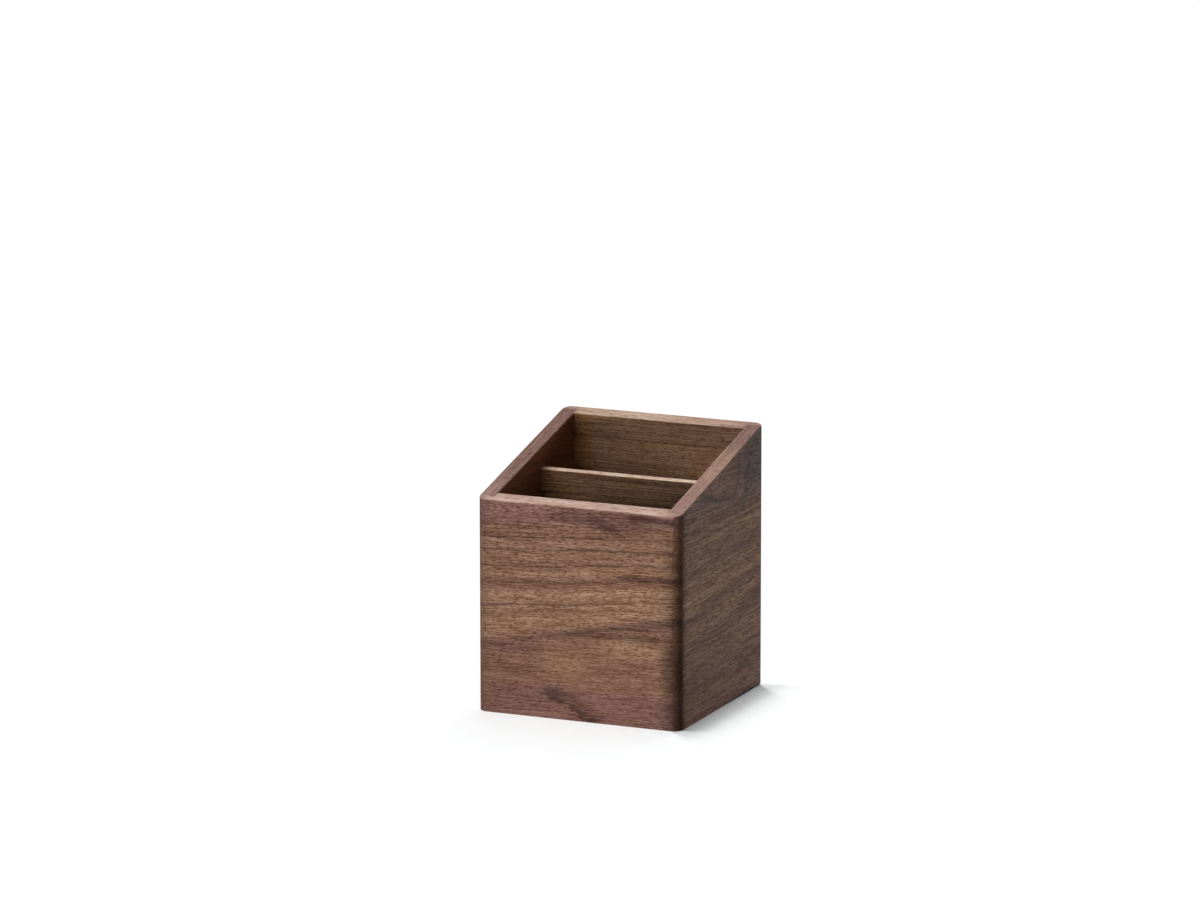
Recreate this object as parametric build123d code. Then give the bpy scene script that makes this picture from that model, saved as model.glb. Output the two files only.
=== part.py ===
from build123d import *

import os

# Wooden pencil cup with a sloping rim. The front faces -Y, the right side faces +X, and the origin lies
# on the underside, at the middle of the outline. All sizes are in millimetres.

# Outside of the glued-up cup
width = 80.0
depth = 80.0
front_height = 79.5
back_height = 98.5
corner_radius = 3.5
rim_easing = 0.5
foot_easing = 0.5

# Boards and their joints
wall_thickness = 6.0
rabbet_depth = 3.0
base_thickness = 5.0
glue_line = 0.05

# Divider and the dados that hold it
divider_thickness = 2.5
divider_drop = 8.0
divider_easing = 0.3
dado_depth = 2.0
front_compartment_depth = 38.0

# How far a cutting block runs past the wood
overrun = 2.0

# Places that follow from the sizes
lip_thickness = wall_thickness - rabbet_depth
inner_width = width - 2 * wall_thickness
inner_depth = depth - 2 * wall_thickness
base_seat = base_thickness + glue_line
block_top = max(front_height, back_height) + overrun
divider_front = front_compartment_depth - inner_depth / 2
divider_back = divider_front + divider_thickness


def rim_height(y):
    """Height of the rim's plane at a place between front and back."""
    rise_share = (y + depth / 2) / depth
    return front_height + (back_height - front_height) * rise_share


def block(low, high):
    """Box between two opposite corners."""
    size = Vector(*high) - Vector(*low)
    return Pos(*low) * Box(*size, align=Align.MIN)


def sloped_block(half_width, front, back, floor, drop):
    """Block between two places in depth, with its top parallel to the rim and a drop below it."""
    profile = Polygon(
        (front, floor),
        (back, floor),
        (back, rim_height(back) - drop),
        (front, rim_height(front) - drop),
        align=None,
    )
    return extrude(Plane.YZ * profile, amount=half_width, both=True)


def carcass():
    """The four walls as one glued ring, sawn to the rim's slope, with its corners rounded and edges eased."""
    outside = extrude(RectangleRounded(width, depth, corner_radius), amount=block_top)
    below_rim = sloped_block(width, -depth, depth, -overrun, 0)
    inside = block(
        (-inner_width / 2, -inner_depth / 2, -overrun),
        (inner_width / 2, inner_depth / 2, block_top),
    )
    ring = ((outside & below_rim) - inside).solid()
    rim = ring.faces().sort_by(Axis.Z)[-1]
    ring = ring.fillet(rim_easing, rim.edges())
    foot = ring.faces().sort_by(Axis.Z)[0]
    return ring.fillet(foot_easing, foot.outer_wire().edges())


def front_board():
    """Room that the front wall takes up: a lip over both corners, and a body between the side walls."""
    lip = block(
        (-width / 2 - overrun, -depth / 2 - overrun, -overrun),
        (width / 2 + overrun, -depth / 2 + lip_thickness, block_top),
    )
    body_end = inner_width / 2 - glue_line
    body = block(
        (-body_end, -depth / 2 - overrun, base_seat),
        (body_end, -inner_depth / 2 + overrun, block_top),
    )
    return lip + body


def right_board():
    """Room that the right wall takes up between the lips of the front and back, above the base's rabbet."""
    end = depth / 2 - lip_thickness - glue_line
    skin = block((width / 2 - lip_thickness, -end, -overrun), (width / 2 + overrun, end, block_top))
    body = block((inner_width / 2, -end, base_seat), (width / 2, end, block_top))
    return skin + body


def dados():
    """Both stopped dados as one block across the cup, open below to the base's rabbet."""
    return sloped_block(
        inner_width / 2 + dado_depth,
        divider_front - glue_line,
        divider_back + glue_line,
        0,
        divider_drop - glue_line,
    )


def divider():
    """Cross board that stands on the base, with its ends in the dados and its top edges eased."""
    board = sloped_block(
        inner_width / 2 + dado_depth - glue_line,
        divider_front,
        divider_back,
        base_seat,
        divider_drop,
    ).solid()
    long_edges = board.edges().filter_by(Axis.X)
    return board.fillet(divider_easing, long_edges.sort_by(Axis.Z)[-2:])


def base_panel():
    """Floor of the cup, in the rabbet round the foot of the four walls and flush with their undersides."""
    half_length_x = inner_width / 2 + rabbet_depth - glue_line
    half_length_y = inner_depth / 2 + rabbet_depth - glue_line
    return block((-half_length_x, -half_length_y, 0), (half_length_x, half_length_y, base_thickness))


def pieces():
    """Every piece of the cup by its name, in place."""
    ring = carcass()
    front_room = front_board()
    right_room = right_board() - dados()
    return {
        "front_wall": ring & front_room,
        "back_wall": ring & mirror(front_room, about=Plane.XZ),
        "right_wall": ring & right_room,
        "left_wall": ring & mirror(right_room, about=Plane.YZ),
        "divider": divider(),
        "base_panel": base_panel(),
    }


os.makedirs("parts", exist_ok=True)
for node, shape in pieces().items():
    export_step(shape, f"parts/{node}.step")
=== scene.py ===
import math
from collections import namedtuple

import bpy
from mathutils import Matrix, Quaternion, Vector


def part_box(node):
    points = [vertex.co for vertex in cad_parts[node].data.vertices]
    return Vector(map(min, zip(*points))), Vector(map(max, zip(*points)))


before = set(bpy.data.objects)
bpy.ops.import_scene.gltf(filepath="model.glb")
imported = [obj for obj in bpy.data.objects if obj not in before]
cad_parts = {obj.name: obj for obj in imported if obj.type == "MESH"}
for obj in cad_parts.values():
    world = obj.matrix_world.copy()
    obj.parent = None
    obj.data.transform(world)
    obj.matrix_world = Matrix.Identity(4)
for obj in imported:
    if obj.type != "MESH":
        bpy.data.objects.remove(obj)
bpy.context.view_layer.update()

# Wooden pencil cup: the look of its oiled walnut boards, a pale floor, soft studio light and the camera.
# The front faces -Y and the right side faces +X. Places in the wood are in millimetres.

MM_PER_M = 1000.0

# The photograph's frame, and the view that its lines give
IMAGE_WIDTH = 1200
IMAGE_HEIGHT = 900
FOCAL_LENGTH_PX = 7106.8
SENSOR_WIDTH = 36.0
VIEW_AZIMUTH = math.radians(23.3)
VIEW_ELEVATION = math.radians(13.386)
VIEW_DISTANCE = 2.603
VIEW_END = 100.0
AIM_POINT = Vector((0, 0, 0.045))
AIM_PIXEL = (621.54, 577.42)

# The rim's slope, from the frame: lowest at the front board, highest at the back board
FRONT_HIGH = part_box("front_wall")[1]
BACK_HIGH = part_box("back_wall")[1]
RIM_SLOPE = (BACK_HIGH.z - FRONT_HIGH.z) / (BACK_HIGH.y - FRONT_HIGH.y)
RIM_NORMAL = Vector((0, -RIM_SLOPE, 1)).normalized()


def srgb(red, green, blue):
    """Linear colour of a tone given as it looks on screen, from 0 to 255, by the sRGB standard's curve."""
    full = 255
    straight_end = 0.04045
    straight_slope = 12.92
    offset = 0.055
    power = 2.4
    linear = []
    for value in (red, green, blue):
        share = value / full
        if share <= straight_end:
            linear.append(share / straight_slope)
        else:
            linear.append(((share + offset) / (1 + offset)) ** power)
    return (*linear, 1.0)


WHITE = srgb(255, 255, 255)

# Tones of the wood
HONEY = srgb(151, 118, 95)
GOLDEN = srgb(141, 108, 86)
CARAMEL = srgb(134, 102, 82)
BROWN = srgb(126, 94, 76)
RUSSET = srgb(116, 85, 68)
UMBER = srgb(108, 78, 63)
PLUM = srgb(112, 82, 73)
REDDISH = srgb(121, 88, 78)
MULBERRY = srgb(124, 91, 82)
ROSY = srgb(134, 99, 88)
COCOA = srgb(88, 62, 51)
AUBURN = srgb(138, 92, 62)
DUSK = srgb(72, 50, 44)
SLATE = srgb(72, 55, 52)
OLIVE = srgb(109, 82, 62)
PEAT = srgb(100, 74, 55)
SOOT = srgb(80, 58, 44)
INK = srgb(36, 27, 24)

# Tones of the sanded rim, paler and greyer than the faces: partly the sanded wood, partly painted light and
# sheen
CREAM = srgb(177, 156, 138)
STRAW = srgb(156, 133, 115)
ROSE = srgb(163, 137, 126)
TAN = srgb(150, 122, 108)
FAWN = srgb(133, 107, 94)
MAUVE = srgb(126, 99, 91)
CHESTNUT = srgb(110, 85, 78)

# A mark in the wood: a line through places along and across the grain, or a soft round patch
Line = namedtuple("Line", "places half_width tone share")
Patch = namedtuple("Patch", "centre radii tone share")

# A place in a board, along the grain, across it and through the board's thickness
Place = namedtuple("Place", "along across through")

# How far the wood's lines sway, and over which lengths along, across and through the board
Sway = namedtuple("Sway", "reach lengths")

# A soft lamp far away. Azimuth 0 shines from the front and 90 from the right; angles are in degrees.
# The level is what a white surface that faces the lamp shows.
Lamp = namedtuple("Lamp", "name azimuth elevation level spread")

# How a board looks: the axis of its grain, its figure, the tones along its rim, the way that its inside faces
# and the change of colour and painted shade there, the length and depth of its dashes and of its streaks, and
# its gloss
Board = namedtuple("Board", "grain figure rim inward inside dash streak gloss")

# Detail of the noise: coarse for dashes, flakes and growth rings, fine for all others
COARSE = 1.0
FINE = 2.0

# Sockets of the node that mixes two colours
MIX_SHARE = 0
MIX_FIRST = 6
MIX_SECOND = 7
MIX_RESULT = 2


class Tree:
    """Node tree of a material or world, with a short method for each kind of node that is used."""

    def __init__(self, owner):
        owner.use_nodes = True
        self.nodes = owner.node_tree.nodes
        self.links = owner.node_tree.links
        self.nodes.clear()

    def add(self, kind, **settings):
        node = self.nodes.new(kind)
        for key, value in settings.items():
            setattr(node, key, value)
        return node

    def feed(self, socket, value):
        """Links a socket to another node's output, or sets it. A vector takes the first three of a colour."""
        if isinstance(value, bpy.types.NodeSocket):
            self.links.new(value, socket)
        elif isinstance(value, tuple):
            socket.default_value = value[:len(socket.default_value)]
        else:
            socket.default_value = value

    def math(self, operation, *values):
        node = self.add("ShaderNodeMath", operation=operation)
        for socket, value in zip(node.inputs, values):
            self.feed(socket, value)
        return node.outputs[0]

    def ramp(self, value, low, high, to_low=0.0, to_high=1.0):
        """Smooth step of a value between two limits."""
        node = self.add("ShaderNodeMapRange", interpolation_type="SMOOTHSTEP")
        for socket, number in zip(node.inputs, (value, low, high, to_low, to_high)):
            self.feed(socket, number)
        return node.outputs[0]

    def straight(self, value, low, high, to_low, to_high):
        """Straight line through two pairs of values, without an end."""
        node = self.add("ShaderNodeMapRange", clamp=False)
        for socket, number in zip(node.inputs, (value, low, high, to_low, to_high)):
            self.feed(socket, number)
        return node.outputs[0]

    def vector(self, x, y, z):
        node = self.add("ShaderNodeCombineXYZ")
        for socket, value in zip(node.inputs, (x, y, z)):
            self.feed(socket, value)
        return node.outputs[0]

    def split(self, vector):
        node = self.add("ShaderNodeSeparateXYZ")
        self.feed(node.inputs[0], vector)
        return node.outputs

    def dot(self, vector, direction):
        node = self.add("ShaderNodeVectorMath", operation="DOT_PRODUCT")
        self.feed(node.inputs[0], vector)
        self.feed(node.inputs[1], direction)
        return node.outputs["Value"]

    def scale(self, vector, factor):
        node = self.add("ShaderNodeVectorMath", operation="SCALE")
        self.feed(node.inputs[0], vector)
        self.feed(node.inputs["Scale"], factor)
        return node.outputs[0]

    def multiply(self, colour, tint):
        node = self.add("ShaderNodeVectorMath", operation="MULTIPLY")
        self.feed(node.inputs[0], colour)
        self.feed(node.inputs[1], tint)
        return node.outputs[0]

    def noise(self, place, lengths, detail=FINE):
        """Noise over a place in the wood, drawn out to the given lengths in millimetres."""
        scaled = [self.math("MULTIPLY", value, 1 / length) for value, length in zip(place, lengths)]
        node = self.add("ShaderNodeTexNoise")
        self.feed(node.inputs["Vector"], self.vector(*scaled))
        self.feed(node.inputs["Scale"], 1.0)
        self.feed(node.inputs["Detail"], detail)
        return node.outputs[0]

    def mix(self, share, first, second):
        node = self.add("ShaderNodeMix", data_type="RGBA", clamp_factor=True)
        self.feed(node.inputs[MIX_SHARE], share)
        self.feed(node.inputs[MIX_FIRST], first)
        self.feed(node.inputs[MIX_SECOND], second)
        return node.outputs[MIX_RESULT]

    def tones(self, value, stops):
        """Colour of a value, from tones at given values."""
        low, high = stops[0][0], stops[-1][0]
        node = self.add("ShaderNodeValToRGB")
        self.feed(node.inputs[0], self.straight(value, low, high, 0.0, 1.0))
        elements = node.color_ramp.elements
        elements.remove(elements[1])
        for number, (height, tone) in enumerate(stops):
            position = (height - low) / (high - low)
            element = elements[0] if number == 0 else elements.new(position)
            element.position = position
            element.color = tone
        return node.outputs[0]

    def segment(self, place, start, end, half_width):
        """One on the line between two places, nothing at its half width, with longer fading ends."""
        end_share = 1.5
        end_fade = end_share * half_width
        run_x, run_y = end[0] - start[0], end[1] - start[1]
        length = math.hypot(run_x, run_y)
        direction = (run_x / length, run_y / length, 0)
        sideways = (-direction[1], direction[0], 0)
        spot = self.vector(place.along, place.across, 0.0)
        start_run = Vector((*start, 0)).dot(Vector(direction))
        start_off = Vector((*start, 0)).dot(Vector(sideways))
        run = self.math("SUBTRACT", self.dot(spot, direction), start_run)
        off = self.math("SUBTRACT", self.dot(spot, sideways), start_off)
        past = self.math("MAXIMUM", self.math("MULTIPLY", run, -1.0), self.math("SUBTRACT", run, length))
        past = self.math("MAXIMUM", past, 0.0)
        off_share = self.math("POWER", self.math("ABSOLUTE", self.math("DIVIDE", off, half_width)), 2.0)
        past_share = self.math("POWER", self.math("DIVIDE", past, end_fade), 2.0)
        return self.ramp(self.math("ADD", off_share, past_share), 1.0, 0.0)

    def patch(self, place, centre, radii):
        """One at a centre, fading to nothing at its radii."""
        along = self.math("DIVIDE", self.math("SUBTRACT", place.along, centre[0]), radii[0])
        across = self.math("DIVIDE", self.math("SUBTRACT", place.across, centre[1]), radii[1])
        squares = self.math("ADD", self.math("POWER", along, 2.0), self.math("POWER", across, 2.0))
        return self.ramp(squares, 1.0, 0.0)

    def draw(self, colour, place, marks, strength=1.0):
        """Draws marks on a colour, one after the other."""
        for mark in marks:
            if isinstance(mark, Patch):
                mask = self.patch(place, mark.centre, mark.radii)
            else:
                mask = 0.0
                for start, end in zip(mark.places, mark.places[1:]):
                    mask = self.math("MAXIMUM", mask, self.segment(place, start, end, mark.half_width))
            share = self.math("MULTIPLY", mask, self.math("MULTIPLY", strength, mark.share))
            colour = self.mix(share, colour, mark.tone)
        return colour


def make_camera():
    """Camera at the photograph's place, turned so that the aim point falls on its pixel."""
    data = bpy.data.cameras.new("camera")
    data.sensor_width = SENSOR_WIDTH
    data.lens = FOCAL_LENGTH_PX * SENSOR_WIDTH / IMAGE_WIDTH
    data.clip_end = VIEW_END
    camera = bpy.data.objects.new("camera", data)
    back = Vector((
        math.sin(VIEW_AZIMUTH) * math.cos(VIEW_ELEVATION),
        -math.cos(VIEW_AZIMUTH) * math.cos(VIEW_ELEVATION),
        math.sin(VIEW_ELEVATION),
    ))
    camera.location = AIM_POINT + back * VIEW_DISTANCE
    turn_right = math.atan((AIM_PIXEL[0] - IMAGE_WIDTH / 2) / FOCAL_LENGTH_PX)
    turn_down = math.atan((AIM_PIXEL[1] - IMAGE_HEIGHT / 2) / FOCAL_LENGTH_PX)
    camera.rotation_mode = "QUATERNION"
    camera.rotation_quaternion = (
        (-back).to_track_quat("-Z", "Y")
        @ Quaternion((0, 1, 0), turn_right)
        @ Quaternion((1, 0, 0), turn_down)
    )
    bpy.context.scene.collection.objects.link(camera)
    bpy.context.scene.camera = camera


def shown_background(tree):
    """One where the camera, a reflection or a refraction looks, and zero for light that falls on things."""
    path = tree.add("ShaderNodeLightPath")
    seen = tree.math("MAXIMUM", path.outputs["Is Camera Ray"], path.outputs["Is Glossy Ray"])
    return tree.math("MAXIMUM", seen, path.outputs["Is Transmission Ray"])


def make_world():
    """White background, and a weak even light from all round."""
    ambient = 0.04
    world = bpy.data.worlds.new("studio")
    bpy.context.scene.world = world
    tree = Tree(world)
    background = tree.add("ShaderNodeBackground")
    tree.feed(background.inputs["Color"], WHITE)
    tree.feed(background.inputs["Strength"], tree.straight(shown_background(tree), 0.0, 1.0, ambient, 1.0))
    output = tree.add("ShaderNodeOutputWorld")
    tree.feed(output.inputs["Surface"], background.outputs[0])


def make_floor():
    """Pale floor that keeps the cup's shadow. A weak cool glow, which only the camera and reflections see,
    lifts it to white and makes up for the warm light that the cup throws into its shadow. From below the
    floor is clear."""
    half = 6.0
    height = -0.0001
    paper = srgb(237, 237, 237)
    paper_for_light = srgb(170, 170, 170)
    glow_level = 0.042
    glow_tint = (0.5, 0.88, 1.0, 1.0)
    corners = [(-half, -half, height), (half, -half, height), (half, half, height), (-half, half, height)]
    mesh = bpy.data.meshes.new("floor")
    mesh.from_pydata(corners, [], [(0, 1, 2, 3)])
    floor = bpy.data.objects.new("floor", mesh)
    bpy.context.scene.collection.objects.link(floor)
    material = bpy.data.materials.new("floor_paper")
    tree = Tree(material)
    shown = shown_background(tree)
    diffuse = tree.add("ShaderNodeBsdfDiffuse")
    tree.feed(diffuse.inputs["Color"], tree.mix(shown, paper_for_light, paper))
    glow = tree.add("ShaderNodeEmission")
    tree.feed(glow.inputs["Color"], glow_tint)
    tree.feed(glow.inputs["Strength"], tree.math("MULTIPLY", shown, glow_level))
    both = tree.add("ShaderNodeAddShader")
    tree.feed(both.inputs[0], diffuse.outputs[0])
    tree.feed(both.inputs[1], glow.outputs[0])
    clear = tree.add("ShaderNodeBsdfTransparent")
    side = tree.add("ShaderNodeNewGeometry")
    surface = tree.add("ShaderNodeMixShader")
    tree.feed(surface.inputs[0], side.outputs["Backfacing"])
    tree.feed(surface.inputs[1], both.outputs[0])
    tree.feed(surface.inputs[2], clear.outputs[0])
    output = tree.add("ShaderNodeOutputMaterial")
    tree.feed(output.inputs["Surface"], surface.outputs[0])
    mesh.materials.append(material)
    return floor


# Lamps of the cup. The one below it is blocked by the cup alone, and not by the floor.
CUP_LAMPS = (
    Lamp("left_strip", -68, 5, 1.28, 34),
    Lamp("left_softbox", -72, 64, 0.85, 44),
    Lamp("front_strip", -10, 5, 0.48, 34),
    Lamp("rear_strip", 158, 10, 0.46, 34),
    Lamp("top_softbox", -90, 80, 0.3, 40),
)
UNDER_FILL = Lamp("under_fill", 0, -90, 0.6, 4)

# Lamps of the floor
FLOOR_LAMPS = (
    Lamp("floor_fill", 23, 30, 0.25, 20),
    Lamp("floor_rear_fill", 180, 62, 0.2, 40),
    Lamp("floor_rear_strip", 180, 85, 0.07, 9),
)

# Two rows of lamps high over the floor, for the shadow beside the right board: their azimuths, and for each
# lamp its lean to the left, its level and its spread
FLOOR_STRIP_AZIMUTHS = (-75.0, -135.0)
FLOOR_STRIP = (
    (1.1, 0.035, 2.0),
    (2.75, 0.053, 2.0),
    (4.4, 0.075, 2.0),
    (5.8, 0.1, 1.6),
    (8.1, 0.08, 3.4),
    (12.2, 0.05, 5.0),
)
UPRIGHT = 90.0


def collection_of(name, things):
    """Collection that holds some objects, for a lamp to light or to be blocked by."""
    collection = bpy.data.collections.new(name)
    for thing in things:
        collection.objects.link(thing)
    return collection


def sun(lamp, lit, blockers=None):
    """Sets up a lamp for the objects that it lights. All things block it, or only the blockers."""
    data = bpy.data.lights.new(lamp.name, "SUN")
    data.energy = lamp.level * math.pi
    data.angle = math.radians(lamp.spread)
    thing = bpy.data.objects.new(lamp.name, data)
    turn = math.radians(lamp.azimuth)
    rise = math.radians(lamp.elevation)
    source = Vector((math.sin(turn) * math.cos(rise), -math.cos(turn) * math.cos(rise), math.sin(rise)))
    thing.rotation_mode = "QUATERNION"
    thing.rotation_quaternion = source.to_track_quat("Z", "Y")
    bpy.context.scene.collection.objects.link(thing)
    thing.light_linking.receiver_collection = collection_of(f"{lamp.name}_lights", lit)
    if blockers:
        thing.light_linking.blocker_collection = collection_of(f"{lamp.name}_blockers", blockers)


def light_cup(cup):
    """Soft light on the cup, mostly from the left."""
    for lamp in CUP_LAMPS:
        sun(lamp, cup)
    sun(UNDER_FILL, cup, blockers=cup)


def light_floor(floor, right_wall):
    """Soft light on the floor. Only the right board blocks the two rows of lamps high over it."""
    for lamp in FLOOR_LAMPS:
        sun(lamp, [floor])
    for azimuth in FLOOR_STRIP_AZIMUTHS:
        for lean, level, spread in FLOOR_STRIP:
            tilt = math.degrees(math.atan(math.tan(math.radians(lean)) / -math.sin(math.radians(azimuth))))
            name = f"floor_strip_{-azimuth:.0f}_{lean}"
            sun(Lamp(name, azimuth, UPRIGHT - tilt, level, spread), [floor], blockers=[right_wall])


def sway_at(tree, place, sway):
    """Offset of the wood's lines at a place, up to the sway's reach either way."""
    return tree.straight(tree.noise(place, sway.lengths), 0.0, 1.0, -sway.reach, sway.reach)


def wander(tree, place, *sways):
    """The same place with its height swaying, once for each sway, as growth lines do."""
    for sway in sways:
        place = place._replace(across=tree.math("ADD", place.across, sway_at(tree, place, sway)))
    return place


def slide(tree, drawn, place, sway):
    """A drawn place that also sways along the grain, by the sway at its true place."""
    return drawn._replace(along=tree.math("ADD", drawn.along, sway_at(tree, place, sway)))


# Growth lines of the front board: their heights at the left and right ends of the stretch that shows them
FRONT_STRETCH = (-36.0, 35.0)
TOP_GROWTH = (66.1, 70.3)
MIDDLE_GROWTH = (39.3, 47.0)
VALLEY_GROWTH = (25.0, 40.2)

# Tones of the front board by the growth line's height at the left end
FRONT_TONES = (
    (22.0, BROWN),
    (26.0, BROWN),
    (31.5, GOLDEN),
    (34.0, GOLDEN),
    (36.8, BROWN),
    (38.3, GOLDEN),
    (40.0, BROWN),
    (42.0, GOLDEN),
    (44.0, HONEY),
    (46.2, BROWN),
    (48.4, RUSSET),
    (49.8, BROWN),
    (52.0, GOLDEN),
    (54.8, BROWN),
    (58.5, CARAMEL),
    (60.8, BROWN),
    (63.3, CARAMEL),
    (65.8, BROWN),
    (69.5, BROWN),
    (71.5, MULBERRY),
    (80.0, MULBERRY),
)

# Thin dark growth lines of the front board: height at the left end, half width and share of darkness
FRONT_LINES = (
    (39.7, 0.5, 0.65),
    (48.7, 0.6, 0.35),
    (55.1, 0.5, 0.6),
    (61.0, 0.6, 0.7),
    (66.1, 0.5, 0.7),
    (70.4, 0.5, 0.5),
    (73.2, 0.5, 0.3),
)

# Below the valley the board is browner, with a reddish strip along its foot
FRONT_FOOT_TONES = (
    (0.0, REDDISH),
    (11.3, REDDISH),
    (12.8, BROWN),
    (40.0, BROWN),
)
FRONT_FOOT_MARKS = (
    Patch((-6.0, 20.0), (15.0, 8.0), GOLDEN, 0.6),
    Patch((20.0, 29.0), (18.0, 4.5), GOLDEN, 0.9),
    Patch((-28.0, 26.0), (17.0, 6.0), PLUM, 0.7),
    Patch((-30.0, 6.0), (16.0, 7.0), UMBER, 0.15),
    Patch((-17.0, 21.0), (5.0, 10.0), UMBER, 0.4),
    Patch((-12.0, 12.6), (13.0, 2.4), REDDISH, 0.7),
    Patch((8.0, 25.5), (9.0, 3.0), GOLDEN, 0.5),
    # The two dark patches at the right end carry the darker right end down the foot, partly painted shade.
    Patch((37.0, 21.0), (6.0, 12.0), DUSK, 0.55),
    Patch((37.0, 4.0), (8.0, 9.0), DUSK, 0.3),
    Line(((-38.0, 16.5), (-20.0, 17.2)), 1.8, UMBER, 0.7),
    Line(((12.0, 20.5), (30.0, 22.0)), 2.0, UMBER, 0.35),
)

# A short dark vein that falls to the right across the foot strip: a thin core with a soft upper side
FOOT_VEIN = ((-12.6, 9.8), (-10.4, 8.5), (-4.3, 6.1), (-1.4, 4.8), (1.5, 3.0), (4.5, 1.3), (5.6, 0.4))
FOOT_VEIN_SIDE = ((-8.5, 8.9), (-2.5, 6.6), (3.0, 3.6), (6.0, 1.4))
FOOT_VEIN_MARKS = (
    Patch((-11.0, 10.2), (7.5, 2.2), DUSK, 0.45),
    Line(FOOT_VEIN_SIDE, 4.0, DUSK, 0.5),
    Line(FOOT_VEIN, 1.2, DUSK, 0.75),
)

# A dark vein that climbs out of the valley and parts in two
VALLEY_VEIN = (
    (-38.0, 25.3),
    (-25.0, 27.9),
    (-15.5, 30.3),
    (-6.0, 31.8),
    (5.0, 34.3),
    (17.0, 36.3),
    (26.0, 38.3),
    (38.0, 40.4),
)
VALLEY_BRANCH = ((-4.0, 31.6), (4.0, 32.8), (14.0, 32.8), (24.0, 33.0), (31.0, 33.4))
FRONT_MARKS = (
    Patch((20.0, 45.0), (22.0, 9.0), HONEY, 0.45),
    Line(VALLEY_VEIN, 2.2, PLUM, 0.5),
    Line(VALLEY_VEIN[1:6], 0.8, DUSK, 0.4),
    Line(VALLEY_VEIN[5:], 1.8, DUSK, 0.35),
    Line(VALLEY_BRANCH, 1.5, DUSK, 0.45),
    Line(((20.0, 36.2), (34.0, 37.0)), 1.1, DUSK, 0.5),
    Line(((-38.0, 25.3), (-30.0, 25.9)), 1.6, DUSK, 0.25),
    Line(((17.0, 55.2), (37.0, 55.5)), 1.3, DUSK, 0.65),
    Line(((-38.0, 73.6), (-20.0, 74.4)), 0.7, DUSK, 0.2),
    Patch((-28.0, 76.0), (14.0, 5.0), ROSY, 0.8),
    Patch((-2.0, 75.8), (14.0, 2.8), DUSK, 0.52),
    Patch((18.0, 75.0), (18.0, 5.0), PLUM, 1.0),
    Patch((18.0, 75.0), (18.0, 5.0), DUSK, 0.28),
    Line(((6.0, 76.4), (14.0, 72.0)), 2.2, DUSK, 0.6),
    Line(((22.0, 77.4), (36.0, 77.2)), 2.0, DUSK, 0.75),
)


def growth_height(tree, share, height, low_line, high_line):
    """Height at the left end of the growth line through a place, between two lines that are not parallel."""
    low = tree.straight(share, 0.0, 1.0, *low_line)
    high = tree.straight(share, 0.0, 1.0, *high_line)
    return tree.straight(height, low, high, low_line[0], high_line[0])


# Each figure gives a board's colour at a place, the height that its fibres follow there, and the share of its
# texture's depth. Smooth steps are written as two limits, then what they give there, unless that is 0 and 1.


def front_figure(tree, place):
    """Growth lines that climb to the right and close up over a valley, with a redder strip along the foot."""
    growth_sways = (Sway(1.2, (34, 12, 12)), Sway(0.6, (7, 2.5, 2.5)))
    mark_sway = Sway(0.8, (8, 3, 3))
    vein_teeth = Sway(8.0, (6, 1.1, 1.1))
    valley_blend = 1.0
    valley_edge = (25.5, 23.0)
    line_breaks = (8, 4, 4)
    line_strength = (0.3, 0.65, 0.45, 1.35)
    right_end_stretch = (31.0, 38.0)
    right_end_shade = (60.0, 74.0, 0.56, 0.88)
    left_end_shade = (-35.3, -38.6, 1.0, 0.54)
    left_half_shade = (5.0, -36.0, 1.0, 0.94)
    fibre_climb = 0.035
    texture_depth = (20.0, 38.0, 0.75, 1.0)

    swayed = wander(tree, place, *growth_sways)
    drawn = wander(tree, place, mark_sway)
    share = tree.straight(place.along, *FRONT_STRETCH, 0.0, 1.0)
    upper = growth_height(tree, share, swayed.across, MIDDLE_GROWTH, TOP_GROWTH)
    lower = growth_height(tree, share, swayed.across, VALLEY_GROWTH, MIDDLE_GROWTH)
    growth = tree.math("SMOOTH_MIN", upper, lower, valley_blend)
    above = tree.tones(growth, FRONT_TONES)
    strength = tree.ramp(tree.noise(place, line_breaks), *line_strength)
    for height, half_width, darkness in FRONT_LINES:
        distance = tree.math("ABSOLUTE", tree.math("SUBTRACT", growth, height))
        line = tree.ramp(distance, half_width, 0.0, 0.0, darkness)
        above = tree.mix(tree.math("MULTIPLY", line, strength), above, DUSK)
    foot = tree.draw(tree.tones(swayed.across, FRONT_FOOT_TONES), drawn, FRONT_FOOT_MARKS)
    foot = tree.draw(foot, slide(tree, drawn, place, vein_teeth), FOOT_VEIN_MARKS)
    below = tree.ramp(lower, *valley_edge)
    colour = tree.draw(tree.mix(below, above, foot), drawn, FRONT_MARKS)
    # Darker towards both ends and a little over the left half: partly darker end grain, partly painted shade.
    end_light = tree.ramp(place.across, *right_end_shade)
    right_end = tree.ramp(drawn.along, *right_end_stretch, 1.0, end_light)
    left_end = tree.ramp(place.along, *left_end_shade)
    left_half = tree.ramp(place.along, *left_half_shade)
    ends = tree.math("MULTIPLY", right_end, tree.math("MULTIPLY", left_end, left_half))
    fibre_height = tree.math("MULTIPLY_ADD", place.along, -fibre_climb, place.across)
    return tree.scale(colour, ends), fibre_height, tree.ramp(place.across, *texture_depth)


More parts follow.
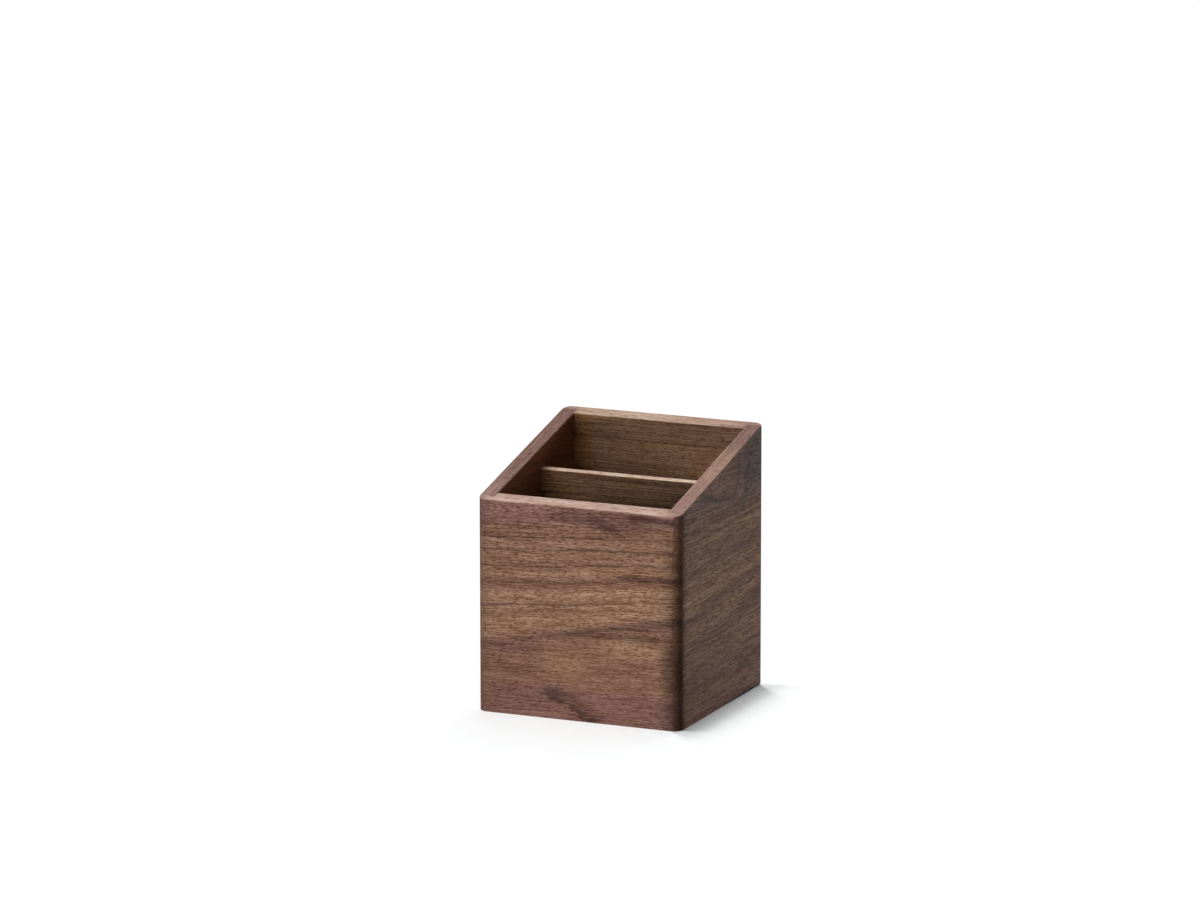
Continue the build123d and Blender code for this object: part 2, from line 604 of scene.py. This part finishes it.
# Tones of the right board by height near its front end; its bands rise towards the back
RIGHT_TONES = (
    (0.0, ROSY),
    (5.0, ROSY),
    (10.0, BROWN),
    (13.0, UMBER),
    (17.0, REDDISH),
    (21.0, BROWN),
    (28.0, UMBER),
    (31.0, BROWN),
    (34.0, GOLDEN),
    (37.0, BROWN),
    (40.5, UMBER),
    (44.0, GOLDEN),
    (47.0, HONEY),
    (50.5, BROWN),
    (52.5, GOLDEN),
    (57.0, UMBER),
    (60.0, BROWN),
    (62.5, BROWN),
    (65.5, GOLDEN),
    (67.0, UMBER),
    (69.0, BROWN),
    (71.5, UMBER),
    (74.0, PLUM),
    (84.0, PLUM),
    (90.0, UMBER),
    (98.0, UMBER),
)
RIGHT_MARKS = (
    Patch((31.0, 88.0), (18.0, 18.0), SLATE, 0.85),
    Line(((16.0, 72.0), (20.0, 74.0), (22.5, 78.0), (23.0, 92.0)), 3.0, SLATE, 0.6),
    Patch((-18.0, 80.5), (8.0, 2.0), DUSK, 0.5),
    Patch((22.0, 25.0), (20.0, 5.0), GOLDEN, 0.5),
    Patch((-32.0, 14.0), (22.0, 16.0), COCOA, 0.3),
    Line(((8.0, 9.8), (23.0, 12.4)), 1.4, DUSK, 0.3),
    Line(((23.0, 12.4), (34.5, 4.2)), 1.7, DUSK, 0.38),
)

# One growth line that hangs from the rim in a loop: a thin core with soft sides
RIGHT_LOOP = (
    (-21.0, 84.3),
    (-16.0, 82.0),
    (-8.0, 79.1),
    (-1.0, 77.5),
    (5.0, 76.9),
    (9.0, 77.1),
    (11.4, 77.9),
    (13.0, 79.2),
    (14.0, 81.2),
    (14.6, 84.2),
    (15.0, 92.0),
)
RIGHT_LOOP_MARKS = (
    Line(RIGHT_LOOP, 2.4, DUSK, 0.35),
    Line(RIGHT_LOOP, 0.8, INK, 0.72),
)

# Painted contact shadow: the dark line where the board meets the table
RIGHT_FOOT_SHADOW = Patch((24.0, 0.35), (30.0, 0.75), INK, 1.0)


def right_figure(tree, place):
    """Level bands below, that rise a little to the back, and one rounded loop of a growth line at the top."""
    growth_sways = (Sway(2.6, (40, 9, 9)), Sway(0.8, (9, 3, 3)))
    mark_sway = Sway(0.5, (8, 4, 4))
    loop_sway = Sway(0.8, (6, 5, 5))
    loop_breaks = (7, 4, 4)
    loop_strength = (0.3, 0.6, 0.7, 1.15)
    climb_start = (18, 30)
    climb_end = (52, 40, 0.0, 0.13)
    climb_pivot = -22.0
    outside_step = (35.0, 38.0)
    tint = (0.856, 0.823, 0.751)
    front_end_shade_tint = (0.34, 0.24, 0.17)
    front_end_step = (-36.5, -32.0)
    fibre_fall = (55, 75, 0.0, 0.07)
    texture_depth = (12.0, 32.0, 0.82, 1.0)

    swayed = wander(tree, place, *growth_sways)
    drawn = wander(tree, place, mark_sway)
    climb = tree.math("MULTIPLY", tree.ramp(place.across, *climb_start), tree.ramp(place.across, *climb_end))
    rise = tree.math("MULTIPLY", tree.math("SUBTRACT", place.along, climb_pivot), climb)
    growth = tree.math("SUBTRACT", swayed.across, rise)
    outside = tree.ramp(place.through, *outside_step)
    colour = tree.draw(tree.tones(growth, RIGHT_TONES), drawn, RIGHT_MARKS, outside)
    colour = tree.draw(colour, place, [RIGHT_FOOT_SHADOW], outside)
    uneven = tree.math("MULTIPLY", outside, tree.ramp(tree.noise(place, loop_breaks), *loop_strength))
    colour = tree.draw(colour, slide(tree, drawn, place, loop_sway), RIGHT_LOOP_MARKS, uneven)
    # Painted shade: the whole board a little darker, as its side turns from the light, and much darker at its
    # front end, next to the rounded corner.
    front_end = tree.multiply(colour, front_end_shade_tint)
    colour = tree.mix(tree.ramp(place.along, *front_end_step), front_end, tree.multiply(colour, tint))
    fall = tree.ramp(place.across, *fibre_fall)
    fibre_height = tree.math("MULTIPLY_ADD", place.along, fall, place.across)
    return colour, fibre_height, tree.ramp(place.across, *texture_depth)


def ring_figure(heart, lean, light=GOLDEN, dark=BROWN, line=UMBER, line_share=0.7):
    """Figure of a plain board in three tones: growth rings round a heart that leans away along the grain.
    The heart is given by its place across and through the board."""
    sways = (Sway(2.0, (80, 20, 20)), Sway(0.2, (14, 3, 3)))
    band_width = 6.5
    band_step = (0.3, 0.7)
    line_width = 1.7
    line_step = (0.56, 0.72)
    line_offset = 40.0

    def figure(tree, place):
        swayed = wander(tree, place, *sways)
        leaning = tree.math("MULTIPLY_ADD", place.along, lean, place.through)
        depth = tree.math("SUBTRACT", leaning, heart[1])
        height = tree.math("SUBTRACT", swayed.across, heart[0])
        square = tree.math("MULTIPLY_ADD", depth, depth, tree.math("MULTIPLY", height, height))
        ring = tree.math("SQRT", square)
        bands = tree.noise((ring, 0.0, 0.0), (band_width,) * 3, COARSE)
        lines = tree.noise((ring, line_offset, 0.0), (line_width,) * 3, COARSE)
        colour = tree.mix(tree.ramp(bands, *band_step), dark, light)
        colour = tree.mix(tree.ramp(lines, *line_step, 0.0, line_share), colour, line)
        return colour, place.across, 1.0

    return figure


def inside_shade(tree, place, colour):
    """Inside of a board, a little darker than its outside: painted shade."""
    tint = (0.8, 0.78, 0.74)
    return tree.multiply(colour, tint)


def back_inside_shade(tree, place, colour):
    """Inside of the back board, with painted shade: darker towards the rim and redder in the left corner."""
    height_light = (76.0, 96.0, 1.2, 0.72)
    corner_step = (-24.0, -29.0)
    tint = (0.78, 0.75, 0.68, 1)
    corner_tint = (0.82, 0.7, 0.42, 1)
    red = tree.mix(tree.ramp(place.along, *corner_step), tint, corner_tint)
    return tree.scale(tree.multiply(colour, red), tree.ramp(place.across, *height_light))


def left_inside_shade(tree, place, colour):
    """Inside of the left board, plain red-brown: painted shade, warmed as by light thrown between the boards.
    """
    length_light = (-15.0, 25.0, 0.9, 1.08)
    tint = (2.35, 1.85, 1.22)
    plain_share = 0.55
    plain = tree.mix(plain_share, tree.multiply(colour, tint), AUBURN)
    return tree.scale(plain, tree.ramp(place.along, *length_light))


def divider_front_shade(tree, place, colour):
    """Front of the divider, with painted shade: darker towards the right and redder at its left end."""
    length_light = (-26.0, 26.0, 1.42, 0.57)
    end_step = (-12.0, -28.0)
    end_tint = (1.04, 0.98, 0.8, 1)
    red = tree.mix(tree.ramp(place.along, *end_step), WHITE, end_tint)
    return tree.scale(tree.multiply(colour, red), tree.ramp(place.along, *length_light))


# The wood's texture: widths across the grain (each board has its own lengths along it), and the shade that
# its dashes, streaks and flakes give
DASH_WIDTH = 0.24
DASH_SHADE = (0.4, 0.75, 1.24, 0.25)
STREAK_WIDTH = 0.24
STREAK_SHADE = (0.25, 0.75, 0.64, 1.3)
FLAKE = (9.0, 1.4, 1.4)
FLAKE_SHADE = (0.25, 0.75, 0.9, 1.1)

# Streaks and dashes of the sanded rim: lengths along, across and through the board, and their shade
RIM_STREAK = (20.0, 1.0, 0.8)
RIM_STREAK_SHADE = (0.3, 0.7, 0.74, 1.2)
RIM_DASH = (3.0, 1.0, 0.5)
RIM_DASH_SHADE = (0.45, 0.75, 1.09, 0.5)

# Where a board's end grain, inside, underside and rim begin, by how far the surface faces that way, and the
# tint of the end grain
END_GRAIN_STEP = (0.4, 0.95)
END_GRAIN_TINT = (0.56, 0.5, 0.43)
INSIDE_STEP = (0.7, 0.95)
UNDERSIDE_STEP = (-0.9, -0.5)
RIM_STEP = (0.6, 0.95)

# Painted contact shadow along the foot, and the rim's edge, paler by wear and a painted highlight
FOOT_SHADOW_LINE = (0.7, 0.3)
FOOT_SHADE = 0.75
ARRIS_START = (0.2, 0.5)
ARRIS_END = (0.98, 0.85)
WEAR_AND_HIGHLIGHT = (0.35, 0.65, 0.1, 0.5)

# Roughness by the texture's shade, and the strength of the dashes' bump and its height in metres
ROUGHNESS = (0.6, 1.3, 0.66, 0.48)
BUMP_STRENGTH = 0.5
BUMP_DISTANCE = 0.0001


def shaded(tree, colour, shade):
    """A colour made darker or lighter, with the dark richer and the light paler, as oiled wood is."""
    green_power = 1.25
    blue_power = 1.42
    tint = tree.vector(shade, tree.math("POWER", shade, green_power), tree.math("POWER", shade, blue_power))
    return tree.multiply(colour, tint)


def rim_wood_and_sheen(tree, place, rim, shift):
    """Sanded rim, with tones at places along the board that are partly painted light and sheen, and streaks
    and dashes that run along it.
    """
    flat = Place(tree.math("ADD", place.along, shift), 0.0, place.through)
    streak = tree.ramp(tree.noise(flat, RIM_STREAK), *RIM_STREAK_SHADE)
    dash = tree.ramp(tree.noise(flat, RIM_DASH), *RIM_DASH_SHADE)
    return shaded(tree, tree.tones(place.along, rim), tree.math("MULTIPLY", streak, dash))


def walnut(name, board, shift):
    """Oiled walnut of one board. The shift moves its texture, so that no two boards are alike."""
    material = bpy.data.materials.new(f"walnut_{name}")
    tree = Tree(material)
    coordinates = tree.add("ShaderNodeTexCoord")
    normal = coordinates.outputs["Normal"]
    x, y, z = tree.split(tree.scale(coordinates.outputs["Object"], MM_PER_M))
    place = Place(x, z, y) if board.grain == "X" else Place(y, z, x)
    grain_direction = (1, 0, 0) if board.grain == "X" else (0, 1, 0)
    tone, fibre_height, depth_share = board.figure(tree, place)
    fibre = Place(tree.math("ADD", place.along, shift), fibre_height, place.through)

    dash_length, dash_depth = board.dash
    streak_length, streak_depth = board.streak
    dash = tree.noise(fibre, (dash_length, DASH_WIDTH, DASH_WIDTH), COARSE)
    streak = tree.noise(fibre, (streak_length, STREAK_WIDTH, STREAK_WIDTH))
    flake = tree.noise(fibre, FLAKE, COARSE)
    dash_power = tree.math("MULTIPLY", depth_share, dash_depth)
    streak_power = tree.math("MULTIPLY", depth_share, streak_depth)
    dash_shade = tree.math("POWER", tree.ramp(dash, *DASH_SHADE), dash_power)
    streak_shade = tree.math("POWER", tree.ramp(streak, *STREAK_SHADE), streak_power)
    flake_shade = tree.ramp(flake, *FLAKE_SHADE)
    shade = tree.math("MULTIPLY", tree.math("MULTIPLY", dash_shade, streak_shade), flake_shade)
    colour = shaded(tree, tone, shade)

    end_grain = tree.math("ABSOLUTE", tree.dot(normal, grain_direction))
    end_share = tree.ramp(end_grain, *END_GRAIN_STEP)
    colour = tree.mix(end_share, colour, tree.multiply(colour, END_GRAIN_TINT))
    # The faces inside the cup take the board's painted shade.
    facing = tree.ramp(tree.dot(normal, board.inward), *INSIDE_STEP)
    colour = tree.mix(facing, colour, board.inside(tree, place, colour))
    # Painted contact shadow: the lowest part of a board made darker, except where it faces down.
    upright = tree.ramp(tree.dot(normal, (0, 0, 1)), *UNDERSIDE_STEP)
    foot = tree.math("MULTIPLY", upright, tree.ramp(place.across, *FOOT_SHADOW_LINE))
    colour = tree.mix(foot, colour, tree.scale(colour, FOOT_SHADE))
    if board.rim:
        upward = tree.dot(normal, RIM_NORMAL)
        # The rim's tones hold painted light and sheen.
        sanded_and_sheen = rim_wood_and_sheen(tree, place, board.rim, shift)
        colour = tree.mix(tree.ramp(upward, *RIM_STEP), colour, sanded_and_sheen)
        # Paler rim edges: partly wear, partly a painted highlight.
        arris = tree.math("MULTIPLY", tree.ramp(upward, *ARRIS_START), tree.ramp(upward, *ARRIS_END))
        wear_and_highlight = tree.math("MULTIPLY", arris, tree.ramp(flake, *WEAR_AND_HIGHLIGHT))
        colour = tree.mix(wear_and_highlight, colour, sanded_and_sheen)

    bump = tree.add("ShaderNodeBump")
    tree.feed(bump.inputs["Strength"], BUMP_STRENGTH)
    tree.feed(bump.inputs["Distance"], BUMP_DISTANCE)
    tree.feed(bump.inputs["Height"], dash_shade)
    surface = tree.add("ShaderNodeBsdfPrincipled")
    tree.feed(surface.inputs["Base Color"], colour)
    tree.feed(surface.inputs["Roughness"], tree.ramp(shade, *ROUGHNESS))
    tree.feed(surface.inputs["Normal"], bump.outputs[0])
    tree.feed(surface.inputs["Specular IOR Level"], board.gloss)
    output = tree.add("ShaderNodeOutputMaterial")
    tree.feed(output.inputs["Surface"], surface.outputs[0])
    return material


# Tones along the rims, by place along the board
FRONT_RIM = ((-40, MAUVE), (-33, ROSE), (30, ROSE), (40, MAUVE))
BACK_RIM = ((-40, MAUVE), (-30, STRAW), (0, STRAW), (26, TAN), (40, MAUVE))
LEFT_RIM = ((-40, MAUVE), (-15, CHESTNUT), (40, CHESTNUT))
RIGHT_RIM = ((-40, MAUVE), (-22, MAUVE), (-5, FAWN), (8, FAWN), (22, CHESTNUT), (40, CHESTNUT))
DIVIDER_RIM = ((-40, TAN), (-20, CREAM), (40, CREAM))

BACK_FIGURE = ring_figure(heart=(190.0, 20.0), lean=0.05)
LEFT_FIGURE = ring_figure(
    heart=(34.0, -62.0), lean=0.2, light=UMBER, dark=COCOA, line=DUSK, line_share=1.0,
)
# The divider's tones are darker than the other boards': painted shade of a board deep in the cup.
DIVIDER_FIGURE = ring_figure(heart=(-120.0, 20.0), lean=0.03, light=OLIVE, dark=PEAT, line=SOOT)
BASE_FIGURE = ring_figure(heart=(10.0, 30.0), lean=0.1)

BOARDS = {
    "front_wall": Board(
        grain="X", figure=front_figure, rim=FRONT_RIM, inward=(0, 1, 0), inside=inside_shade,
        dash=(1.8, 0.85), streak=(14.0, 1.1), gloss=0.03,
    ),
    "back_wall": Board(
        grain="X", figure=BACK_FIGURE, rim=BACK_RIM, inward=(0, -1, 0), inside=back_inside_shade,
        dash=(1.6, 0.6), streak=(50.0, 1.3), gloss=0.06,
    ),
    "left_wall": Board(
        grain="Y", figure=LEFT_FIGURE, rim=LEFT_RIM, inward=(1, 0, 0), inside=left_inside_shade,
        dash=(2.0, 0.8), streak=(16.0, 1.0), gloss=0.03,
    ),
    "right_wall": Board(
        grain="Y", figure=right_figure, rim=RIGHT_RIM, inward=(-1, 0, 0), inside=inside_shade,
        dash=(3.6, 1.0), streak=(26.0, 1.4), gloss=0.06,
    ),
    "divider": Board(
        grain="X", figure=DIVIDER_FIGURE, rim=DIVIDER_RIM, inward=(0, -1, 0), inside=divider_front_shade,
        dash=(1.6, 0.6), streak=(60.0, 1.7), gloss=0.06,
    ),
    "base_panel": Board(
        grain="X", figure=BASE_FIGURE, rim=None, inward=(0, 0, 1), inside=inside_shade,
        dash=(2.4, 0.9), streak=(20.0, 1.0), gloss=0.06,
    ),
}

# How far the texture of each board lies from that of the one before
BOARD_SHIFT = 300.0

make_camera()
make_world()
light_cup(list(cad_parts.values()))
light_floor(make_floor(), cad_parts["right_wall"])
for number, (node, board) in enumerate(BOARDS.items()):
    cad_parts[node].material_slots[0].material = walnut(node, board, number * BOARD_SHIFT)

bpy.context.scene.view_settings.view_transform = "Standard"
